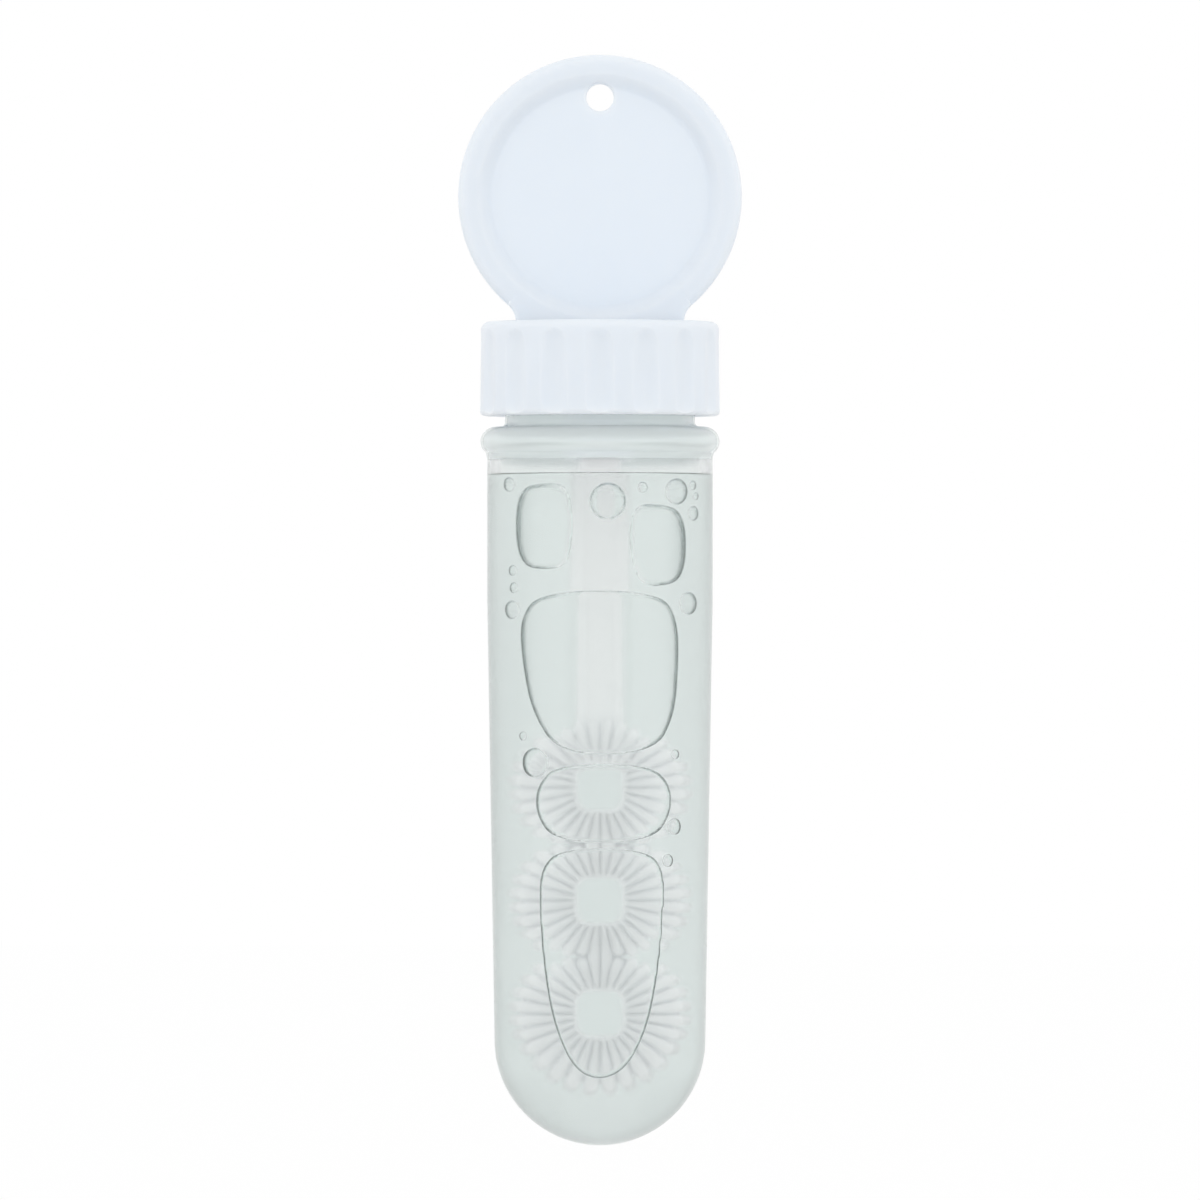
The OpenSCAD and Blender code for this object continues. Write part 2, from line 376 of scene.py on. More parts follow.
@dataclass(frozen=True)
class Finish:
    """A surface that Principled shading gives, with fine variation in its colour, gloss and relief."""

    name: str
    slot: str
    colour: Colour
    shade: Colour
    rough_low: float
    rough_high: float
    grain_per_m: float
    relief: float
    relief_mm: float
    ior: float = 1.5
    clear: bool = False
    milk: float = 0.0
    cells: bool = False
    soft: float = 0.0
    soft_mm: float = 1.0
    grains_per_cloud: float = 12.0
    cloud_detail: float = 3.0
    cloud_low: float = 0.3
    cloud_high: float = 0.7
    grain_detail: float = 2.0

    def material(self) -> bpy.types.Material:
        """Makes the finish's material.

        Returns:
            A material whose pattern reads Object coordinates.
        """
        material = bpy.data.materials.new(self.name)
        material.use_nodes = True
        tree = material.node_tree
        shader = tree.nodes["Principled BSDF"]
        shader.inputs["IOR"].default_value = self.ior
        if self.clear:
            shader.inputs["Transmission Weight"].default_value = 1.0 - self.milk
        if self.soft:
            shader.inputs["Subsurface Weight"].default_value = self.soft
            shader.inputs["Subsurface Radius"].default_value = (1.0, 1.0, 1.0)
            shader.inputs["Subsurface Scale"].default_value = self.soft_mm * MM
        place = tree.nodes.new("ShaderNodeTexCoord")
        cloud = tree.nodes.new("ShaderNodeTexNoise")
        cloud.inputs["Scale"].default_value = self.grain_per_m / self.grains_per_cloud
        cloud.inputs["Detail"].default_value = self.cloud_detail
        tree.links.new(place.outputs["Object"], cloud.inputs["Vector"])
        tone = tree.nodes.new("ShaderNodeMix")
        tone.data_type = "RGBA"
        tone.inputs[MIX_A].default_value = (*self.colour, 1.0)
        tone.inputs[MIX_B].default_value = (*self.shade, 1.0)
        tree.links.new(cloud.outputs["Fac"], tone.inputs[0])
        tree.links.new(tone.outputs[MIX_RESULT], shader.inputs["Base Color"])
        gloss = tree.nodes.new("ShaderNodeMapRange")
        gloss.inputs["From Min"].default_value = self.cloud_low
        gloss.inputs["From Max"].default_value = self.cloud_high
        gloss.inputs["To Min"].default_value = self.rough_low
        gloss.inputs["To Max"].default_value = self.rough_high
        tree.links.new(cloud.outputs["Fac"], gloss.inputs["Value"])
        tree.links.new(gloss.outputs["Result"], shader.inputs["Roughness"])
        if self.cells:
            grain = tree.nodes.new("ShaderNodeTexVoronoi")
            height = grain.outputs["Distance"]
        else:
            grain = tree.nodes.new("ShaderNodeTexNoise")
            grain.inputs["Detail"].default_value = self.grain_detail
            height = grain.outputs["Fac"]
        grain.inputs["Scale"].default_value = self.grain_per_m
        tree.links.new(place.outputs["Object"], grain.inputs["Vector"])
        bump = tree.nodes.new("ShaderNodeBump")
        bump.inputs["Strength"].default_value = self.relief
        bump.inputs["Distance"].default_value = self.relief_mm * MM
        tree.links.new(height, bump.inputs["Height"])
        tree.links.new(bump.outputs["Normal"], shader.inputs["Normal"])
        if self.clear:
            self.pass_light(tree, shader)
        return material

    def pass_light(self, tree: bpy.types.NodeTree, shader: bpy.types.Node) -> None:
        """Lets shadow rays and diffuse rays through a clear finish untinted, so that what it holds is lit.

        Args:
            tree: The material's nodes.
            shader: Its Principled node.
        """
        path = tree.nodes.new("ShaderNodeLightPath")
        light = tree.nodes.new("ShaderNodeMath")
        light.operation = "MAXIMUM"
        tree.links.new(path.outputs["Is Shadow Ray"], light.inputs[0])
        tree.links.new(path.outputs["Is Diffuse Ray"], light.inputs[1])
        through = tree.nodes.new("ShaderNodeBsdfTransparent")
        mix = tree.nodes.new("ShaderNodeMixShader")
        tree.links.new(light.outputs[0], mix.inputs[0])
        tree.links.new(shader.outputs[0], mix.inputs[1])
        tree.links.new(through.outputs[0], mix.inputs[2])
        tree.links.new(mix.outputs[0], tree.nodes["Material Output"].inputs["Surface"])

    def dress(self, obj: bpy.types.Object) -> None:
        """Gives an object this finish.

        Args:
            obj: The object.
        """
        obj.data.materials.clear()
        obj.data.materials.append(self.material())


# Tint partly the plastic's own and partly painted shade: the grey stands in for the shaded backdrop seen
# through the tube.
CLEAR_PLASTIC = Finish(
    name="clear_plastic", slot="clear_plastic", colour=(0.925, 0.946, 0.942), shade=(0.915, 0.938, 0.933),
    rough_low=0.12, rough_high=0.18, grain_per_m=260, relief=0.04, relief_mm=0.05, ior=1.5, clear=True,
)
# Collar and neck finish, partly a guessed haze and partly painted light: its milky lit tone hides the shade
# of the cap's underside and boss seen through the collar.
CLOUDY_PAINTED_LIGHT_PLASTIC = replace(
    CLEAR_PLASTIC, name="cloudy_painted_light_plastic", colour=(0.86, 0.915, 0.91), shade=(0.85, 0.907, 0.902),
    rough_low=0.16, rough_high=0.24, milk=0.4,
)
# Tint partly the solution's own and partly painted shade: the grey stands in for the shaded backdrop seen
# through the liquid.
SOAP_SOLUTION = Finish(
    name="soap_solution", slot="soap_solution", colour=(0.843, 0.878, 0.871), shade=(0.833, 0.87, 0.863),
    rough_low=0.0, rough_high=0.01, grain_per_m=200, relief=0.02, relief_mm=0.05, ior=1.34, clear=True,
)
POCKET_SKIN = replace(
    SOAP_SOLUTION, name="pocket_skin", colour=(0.994, 0.997, 0.996), shade=(0.988, 0.992, 0.991),
)
WHITE_PLASTIC = Finish(
    name="white_plastic", slot="white_plastic", colour=(0.81, 0.855, 0.91), shade=(0.8, 0.847, 0.904),
    rough_low=0.32, rough_high=0.42, grain_per_m=2600, relief=0.06, relief_mm=0.04, soft=0.8, soft_mm=1.2,
)
WAND_PLASTIC = Finish(
    name="wand_plastic", slot="wand_plastic", colour=(0.965, 0.974, 0.982), shade=(0.958, 0.968, 0.977),
    rough_low=0.24, rough_high=0.36, grain_per_m=1800, relief=0.05, relief_mm=0.04, soft=1.0, soft_mm=1.8,
)
FOAM_WAD = Finish(
    name="foam_wad", slot="foam_wad", colour=(0.86, 0.875, 0.88), shade=(0.8, 0.82, 0.83),
    rough_low=0.7, rough_high=0.85, grain_per_m=3600, relief=0.5, relief_mm=0.1, cells=True,
)


@dataclass
class Thread:
    """A helical ridge that runs round a wall and fades out at both ends."""

    wall_r: float
    height: float
    base: float
    crest: float
    low_z: float
    pitch: float
    turns: float
    inwards: bool
    steps: int = 96
    sink: float = 0.25
    run_out: float = 0.12
    faded_sink: float = 0.12
    least_share: float = 0.02

    def build(self, name: str) -> bpy.types.Object:
        """Models the ridge.

        Args:
            name: Name of the new object.

        Returns:
            The ridge, sunk a little into its wall.
        """
        side = -1 if self.inwards else 1
        foot = self.wall_r - side * self.sink
        top = self.wall_r + side * self.height
        obj = trace(name, [
            Vector((foot, 0, self.low_z - self.base / 2)),
            Vector((top, 0, self.low_z - self.crest / 2)),
            Vector((top, 0, self.low_z + self.crest / 2)),
            Vector((foot, 0, self.low_z + self.base / 2)),
            Vector((foot, 0, self.low_z - self.base / 2)),
        ])
        bpy.ops.mesh.remove_doubles(threshold=WELD_MM * MM)
        leave()
        count = round(self.steps * self.turns)
        apply(obj, "SCREW", axis="Z", angle=math.tau * self.turns, screw_offset=self.pitch * self.turns * MM,
              steps=count, render_steps=count, use_merge_vertices=False)
        edit(obj)
        bpy.ops.mesh.fill_holes(sides=8)
        tidy_mesh()
        self.fade(obj)
        return obj

    def fade(self, obj: bpy.types.Object) -> None:
        """Lets the ridge run out into its wall at both ends.

        Args:
            obj: The ridge.
        """
        rise = self.pitch * self.turns
        run = self.run_out * self.turns * self.pitch
        for vert in obj.data.vertices:
            radius = math.hypot(vert.co.x, vert.co.y) / MM
            along = min(max((vert.co.z / MM - self.low_z) / rise, 0), 1) * rise
            share = min(along, rise - along) / run
            if share < 1:
                foot = self.wall_r + (self.faded_sink if self.inwards else -self.faded_sink)
                wanted = foot + (radius - foot) * max(share, self.least_share)
                vert.co.x *= wanted / radius
                vert.co.y *= wanted / radius


@dataclass
class BubbleTube:
    """The clear round-ended tube with its collar bead and threaded neck, all sizes in millimetres."""

    tube_r: float = 12.4
    end_r: float = 11.6
    band_h: float = 14.5
    length: float = 75.8
    wall: float = 1.3
    bead_r: float = 1.6
    bead_wall: float = 1.3
    collar_r: float = 13.15
    neck_r: float = 10.45
    bore_r: float = 9.25
    neck_h: float = 12.1
    fillet: float = 0.55
    rim: float = 0.45
    band_blend: float = 1.2
    shoulder_turn: float = 0.6
    shoulder_drop: float = 0.6
    # Height above which the collar and neck get the cloudy finish, which is partly painted light.
    cloudy_painted_light_z: float = -0.35
    steps: int = 144

    def inside(self, grow: float) -> list[Point]:
        """Lists the tube's inner wall from the round end's pole up to the shoulder's foot.

        Args:
            grow: How far the wall is moved outwards.

        Returns:
            Radius and height of each point.
        """
        centre = (0.0, self.end_r - self.length)
        points = arc(centre, self.end_r - self.wall + grow, -90, 0, 28)
        points[0] = (0.0, points[0][1])
        points.append((self.tube_r - self.wall + grow, -self.band_h))
        return points

    def profile(self) -> list[Point]:
        """Lists the section of the whole tube, from the pole outside to the pole inside.

        Returns:
            Radius and height of each point.
        """
        centre = (0.0, self.end_r - self.length)
        points = arc(centre, self.end_r, -90, 0, 32)
        points[0] = (0.0, -self.length)
        points.append((self.tube_r, -self.band_h - self.band_blend))
        points.append((self.tube_r, -self.band_h + self.band_blend))
        points.append((self.tube_r, self.cloudy_painted_light_z))
        bead = (self.collar_r - self.bead_r, self.bead_r)
        points += arc(bead, self.bead_r, -52, 88, 20)
        neck = (self.neck_r + self.fillet, 2 * self.bead_r + self.fillet)
        points += arc(neck, self.fillet, 268, 180, 8)
        points += arc((self.neck_r - self.rim, self.neck_h - self.rim), self.rim, 0, 90, 5)
        points += arc((self.bore_r + self.rim, self.neck_h - self.rim), self.rim, 92, 180, 5)
        points += self.shoulder()
        return points + self.inside(0.0)[::-1]

    def shoulder(self) -> list[Point]:
        """Lists the inner wall behind the collar, which follows the bead outside, from the neck downwards.

        Returns:
            Radius and height of each point.
        """
        bead = (self.collar_r - self.bead_r, self.bead_r)
        hollow = self.bead_r - self.bead_wall
        top = bead[1] + hollow
        turn = self.shoulder_turn
        points = arc((self.bore_r + turn, top + turn), turn, 180, 270, 6)
        points += arc(bead, hollow, 88, -40, 8)
        return [*points, (self.tube_r - self.wall, self.wall - self.shoulder_drop)]

    def build(self) -> bpy.types.Object:
        """Models the tube and its thread.

        Returns:
            The tube.
        """
        tube = lathe("bubble_tube_shell", self.profile(), self.steps)
        ridge = Thread(wall_r=self.neck_r, height=0.55, base=1.7, crest=0.6, low_z=5.3, pitch=3.0, turns=1.6,
                       inwards=False)
        combine(tube, ridge.build("neck_thread"), Mix.ADD)
        smooth(tube, degrees=35)
        CLEAR_PLASTIC.dress(tube)
        # The collar and neck faces get the cloudy finish, whose lighter milky tone is partly painted light
        # over the shade inside the cap.
        tube.data.materials.append(CLOUDY_PAINTED_LIGHT_PLASTIC.material())
        for face in tube.data.polygons:
            face.material_index = int(face.center.z > self.cloudy_painted_light_z * MM)
        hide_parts("bubble_tube")
        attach(tube, "tube")
        return tube


@dataclass
class AirPocket:
    """A pocket of air along the tube's front wall, by its outline from the front in millimetres."""

    outline: list[Point]
    floor_y: float
    taper: float = 0.7
    rounding: int = 4
    front_y: float = -16.0
    voxel: float = 0.22
    slack: float = 0.1

    def build(self, name: str, wall: list[Point]) -> bpy.types.Object:
        """Models the pocket as a smooth closed form.

        Args:
            name: Name of the new object.
            wall: Section of the solid that the pocket stays inside.

        Returns:
            The pocket, with its faces pointing into it.
        """
        outline = smooth_curve(self.outline)
        pocket = plate(name, outline, self.front_y, self.floor_y)
        across = max(x for x, _ in outline) - min(x for x, _ in outline)
        along = max(z for _, z in outline) - min(z for _, z in outline)
        edit(pocket)
        pick(pocket, lambda place: place.y > self.floor_y - self.slack)
        bpy.ops.transform.resize(value=(1 - 2 * self.taper / across, 1, 1 - 2 * self.taper / along))
        leave()
        combine(pocket, lathe("pocket_wall", wall, steps=96), Mix.KEEP)
        apply(pocket, "REMESH", mode="VOXEL", voxel_size=self.voxel * MM)
        apply(pocket, "SMOOTH", factor=0.5, iterations=self.rounding)
        edit(pocket)
        bpy.ops.mesh.normals_make_consistent(inside=True)
        leave()
        return pocket


@dataclass
class SoapSolution:
    """The liquid in the tube, with the air pockets and small bubbles along its front."""

    tube: BubbleTube
    fill_z: float = -2.0
    overlap: float = 0.05
    film: float = 0.12
    cover: float = 0.3
    flat: float = 0.5
    tall: float = 1.08
    clearance: float = 0.25
    creep: tuple[Point, ...] = ((0.0, 0.12), (0.12, 0.02), (0.3, 0.0))

    def pockets(self) -> list[AirPocket]:
        """Lists the five large pockets, from the cap to the round end.

        Returns:
            The pockets.
        """
        return [
            AirPocket([(-8.7, -2.9), (-5.8, -2.5), (-2.9, -2.8), (-2.3, -7.5), (-2.9, -12.5), (-5.8, -13.1),
                       (-8.6, -12.6), (-9.4, -7.8)], -5.6),
            AirPocket([(3.1, -5.0), (6.0, -4.8), (8.8, -5.3), (9.6, -9.6), (8.9, -14.2), (6.4, -14.9),
                       (3.6, -14.5), (2.5, -9.5)], -5.6),
            AirPocket([(-6.6, -14.4), (6.6, -14.4), (8.6, -17.4), (8.7, -23.0), (8.2, -29.0), (6.0, -33.0),
                       (-4.4, -33.2), (-7.5, -28.5), (-8.6, -22.5), (-8.9, -17.4)], -6.2),
            AirPocket([(-4.8, -33.2), (5.5, -33.2), (8.0, -35.6), (8.1, -39.4), (5.8, -42.8), (-5.0, -42.8),
                       (-7.3, -39.6), (-7.2, -35.8)], -7.4),
            AirPocket([(-4.4, -42.4), (5.0, -42.4), (7.4, -44.6), (7.3, -50.0), (6.6, -57.0), (5.1, -63.9),
                       (2.1, -68.4), (-2.4, -68.4), (-5.3, -62.9), (-6.6, -55.0), (-7.0, -48.0),
                       (-6.7, -44.4)], -7.9),
        ]

    def bubbles(self) -> list[tuple[float, float, float]]:
        """Lists the small bubbles as their place across, their height and their radius.

        Returns:
            The bubbles, in millimetres.
        """
        return [
            (-8.8, -12.6, 0.55), (-8.7, -14.5, 0.55), (-8.8, -16.9, 0.95), (8.8, -16.2, 1.15),
            (-7.9, -30.7, 0.45), (-6.6, -33.6, 1.5), (7.7, -32.7, 0.5), (7.6, -40.6, 0.85),
            (7.0, -44.3, 0.65), (9.3, -6.3, 0.75), (7.7, -3.9, 1.35), (4.4, -3.5, 0.55), (-9.1, -3.1, 0.75),
            (9.3, -3.2, 0.5), (9.6, -4.4, 0.4), (0.8, -5.0, 1.9),
        ]

    def bubble(self, index: int, spot: tuple[float, float, float]) -> bpy.types.Object:
        """Models one small bubble against the front wall.

        Args:
            index: Its number.
            spot: Its place across, its height and its radius.

        Returns:
            The bubble, with its faces pointing into it.
        """
        x, z, radius = spot
        wall = self.tube.tube_r - self.tube.wall - self.film - self.clearance
        depth = -math.sqrt((wall - self.flat * radius) ** 2 - x * x)
        bpy.ops.object.select_all(action="DESELECT")
        bpy.ops.mesh.primitive_uv_sphere_add(segments=24, ring_count=14, radius=radius * MM)
        obj = bpy.context.object
        obj.name = f"bubble_{index}"
        edit(obj)
        bpy.ops.transform.resize(value=(1.0, self.flat, self.tall))
        bpy.ops.transform.translate(value=Vector((x, depth, z)) * MM)
        bpy.ops.mesh.normals_make_consistent(inside=True)
        leave()
        return obj

    def build(self) -> bpy.types.Object:
        """Models the liquid with its pockets and bubbles.

        Returns:
            The liquid.
        """
        wall = self.tube.inside(self.overlap)
        top_r = wall[-1][0]
        edge = [(top_r - inset, self.fill_z + rise) for inset, rise in self.creep]
        body = lathe("soap_solution_fill", [*wall, *edge, (0.0, self.fill_z)], self.tube.steps)
        bound_r = self.tube.tube_r - self.tube.wall - self.film
        bound_z = self.fill_z - self.cover
        bound = [*self.tube.inside(-self.film), (bound_r, bound_z), (0.0, bound_z)]
        parts = [body]
        for number, pocket in enumerate(self.pockets()):
            parts.append(pocket.build(f"pocket_{number}", bound))
        for number, spot in enumerate(self.bubbles()):
            parts.append(self.bubble(number, spot))
        SOAP_SOLUTION.dress(body)
        skin = POCKET_SKIN.material()
        for part in parts[1:]:
            part.data.materials.clear()
            part.data.materials.append(skin)
        liquid = join(parts, "soap_solution_fill")
        smooth(liquid, degrees=50)
        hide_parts("soap_solution")
        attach(liquid, "tube")
        return liquid


@dataclass
class SealingWad:
    """The flat foam ring between the neck's rim and the cap's top."""

    outer_r: float = 11.45
    inner_r: float = 4.2
    low_z: float = 12.1
    thickness: float = 1.0
    edge: float = 0.2

    def build(self) -> bpy.types.Object:
        """Models the wad with softened edges.

        Returns:
            The wad.
        """
        high_z = self.low_z + self.thickness
        section = [
            (self.inner_r + self.edge, self.low_z), (self.outer_r - self.edge, self.low_z),
            (self.outer_r, self.low_z + self.edge), (self.outer_r, high_z - self.edge),
            (self.outer_r - self.edge, high_z), (self.inner_r + self.edge, high_z),
            (self.inner_r, high_z - self.edge), (self.inner_r, self.low_z + self.edge),
            (self.inner_r + self.edge, self.low_z),
        ]
        wad = lathe("sealing_wad_foam", section, steps=96)
        smooth(wad, degrees=30)
        FOAM_WAD.dress(wad)
        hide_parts("sealing_wad")
        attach(wad, "wad")
        return wad


@dataclass
class ScrewCap:
    """The white screw cap with its upright tag and the socket boss under its top."""

    low_r: float = 13.25
    top_r: float = 13.1
    low_z: float = 4.4
    top_z: float = 14.75
    ceiling_z: float = 13.1
    bore_r: float = 11.75
    edge: float = 0.9
    lip: float = 0.6
    flute_count: int = 16
    flute_r: float = 5.0
    flute_depth: float = 0.22
    boss_r: float = 3.9
    boss_z: float = 0.4
    socket: tuple[float, float, float] = (4.1, 2.5, 7.05)
    tag_r: float = 15.6
    tag_z: float = 28.5
    tag_t: float = 3.0
    web_t: float = 1.4
    recess_r: float = 12.7
    rim_edge: float = 0.9
    slope: float = 1.8
    foot_half: float = 9.25
    hole_r: float = 1.5
    hole_z: float = 39.4
    hole_flare: float = 0.25
    mouth_edge: float = 0.25
    ceiling_fillet: float = 0.4
    boss_edge: float = 0.3
    foot_sink: float = 0.8
    foot_edge: float = 0.5
    steps: int = 160

    def shell(self) -> bpy.types.Object:
        """Models the skirt, top plate and boss as one turned form.

        Returns:
            The shell.
        """
        section: list[Point] = [(0.0, self.top_z)]
        section += arc((self.top_r - self.edge, self.top_z - self.edge), self.edge, 90, 1, 8)
        section += arc((self.low_r - self.lip, self.low_z + self.lip), self.lip, 0, -90, 4)
        section += [(self.bore_r + self.mouth_edge, self.low_z), (self.bore_r, self.low_z + self.mouth_edge)]
        fillet = self.ceiling_fillet
        section += arc((self.bore_r - fillet, self.ceiling_z - fillet), fillet, 0, 90, 4)
        section += [(self.boss_r, self.ceiling_z)]
        edge = self.boss_edge
        section += arc((self.boss_r - edge, self.boss_z + edge), edge, 0, -90, 3)
        section += [(0.0, self.boss_z)]
        return lathe("screw_cap_shell", section, self.steps)

    def flutes(self) -> bpy.types.Object:
        """Models the cutters of the grip flutes.

        Returns:
            All cutters as one object.
        """
        margin = self.flute_r * math.sqrt(2 * self.flute_depth / self.flute_r)
        low = self.low_z + margin
        high = self.top_z - self.edge - margin
        section = [*arc((0.0, low), self.flute_r, -90, 0, 16), *arc((0.0, high), self.flute_r, 0, 90, 16)]
        section[0] = (0.0, section[0][1])
        section[-1] = (0.0, section[-1][1])
        cutter = lathe("flute_cutter", section, steps=96)
        out = Matrix.Translation(Vector((0, -(self.top_r + self.flute_r - self.flute_depth), 0)) * MM)
        turns = [Matrix.Rotation(math.tau * i / self.flute_count, 4, "Z") for i in range(self.flute_count)]
        copies = [copy_of(cutter, turn @ out) for turn in turns]
        bpy.data.objects.remove(cutter, do_unlink=True)
        return join(copies, "flute_cutters")

    def tag(self) -> bpy.types.Object:
        """Models the round tag with its raised rim and the recess on both faces.

        Returns:
            The tag.
        """
        half = self.tag_t / 2
        web = self.web_t / 2
        edge = self.rim_edge
        face: list[Point] = [(0.0, web)]
        slope_steps = 12
        for step in range(slope_steps + 1):
            share = step / slope_steps
            rise = (1 - math.cos(math.pi * share)) / 2
            face.append((self.recess_r + self.slope * (share - 0.5), web + (half - web) * rise))
        face += arc((self.tag_r - edge, half - edge), edge, 88, 2, 8)
        section = [*face, *[(r, -h) for r, h in face[::-1]]]
        tag = lathe("tag_disc", section, steps=192, axis=Axis.FACING)
        tag.data.transform(Matrix.Translation((0, 0, self.tag_z * MM)))
        floor = self.top_z - (self.top_z - self.ceiling_z) / 2
        wide = 20
        outline = [(-wide, floor - wide), (wide, floor - wide), (wide, floor), (-wide, floor)]
        trim = plate("tag_trim", outline, front=-5, back=5)
        combine(tag, trim, Mix.TAKE)
        return tag

    def foot(self) -> bpy.types.Object:
        """Models the foot that carries the tag, filleted into the disc on both sides.

        Returns:
            The foot.
        """
        rise = self.tag_z - self.top_z
        fillet = (rise ** 2 + self.foot_half ** 2 - self.tag_r ** 2) / (2 * (self.tag_r - self.foot_half))
        centre = self.foot_half + fillet
        share = self.tag_r / (self.tag_r + fillet)
        join_x = centre * share
        join_z = self.tag_z - rise * share
        lean = math.degrees(math.atan2(join_z - self.top_z, join_x - centre))
        right = arc((centre, self.top_z), fillet, 180, lean, 10)
        sink = self.top_z - self.foot_sink
        mid = (self.recess_r + self.tag_r) / 2
        spread = 42
        top = arc((0.0, self.tag_z), mid, spread - 90, -spread - 90, 24)
        left = [(-x, z) for x, z in right[::-1]]
        outline = [(-self.foot_half, sink), (self.foot_half, sink), *right, *top, *left]
        foot = plate("tag_foot", outline, -self.tag_t / 2, self.tag_t / 2)
        apply(foot, "BEVEL", width=self.foot_edge * MM, segments=3, limit_method="ANGLE",
              angle_limit=math.radians(50))
        return foot

    def hole(self) -> bpy.types.Object:
        """Models the cutter of the hanging hole, flared so that the hole's edges are rounded.

        Returns:
            The cutter.
        """
        web = self.web_t / 2
        flare = self.hole_flare
        side = arc((self.hole_r + flare, web - flare), flare, 180, 95, 5)
        half = [*side, (self.hole_r + flare, self.tag_t), (0.0, self.tag_t)]
        section = [*[(r, -h) for r, h in half[::-1]], *half]
        cutter = lathe("hole_cutter", section, steps=64, axis=Axis.FACING)
        cutter.data.transform(Matrix.Translation((0, 0, self.hole_z * MM)))
        return cutter

    def build(self) -> bpy.types.Object:
        """Models the whole cap.

        Returns:
            The cap.
        """
        cap = self.shell()
        combine(cap, self.flutes(), Mix.TAKE)
        combine(cap, self.tag(), Mix.ADD)
        combine(cap, self.foot(), Mix.ADD)
        combine(cap, self.hole(), Mix.TAKE)
        width, depth, height = self.socket
        open_end = 0.5
        socket = block("socket_cutter", width, depth, self.boss_z - open_end, self.boss_z + height)
        combine(cap, socket, Mix.TAKE)
        ridge = Thread(wall_r=self.bore_r, height=0.5, base=1.7, crest=0.6, low_z=6.2, pitch=3.0, turns=1.4,
                       inwards=True)
        combine(cap, ridge.build("cap_thread"), Mix.ADD)
        cap.name = "screw_cap_moulding"
        cap.data.name = "screw_cap_moulding"
        smooth(cap, degrees=32)
        WHITE_PLASTIC.dress(cap)
        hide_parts("screw_cap")
        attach(cap, "cap")
        return cap


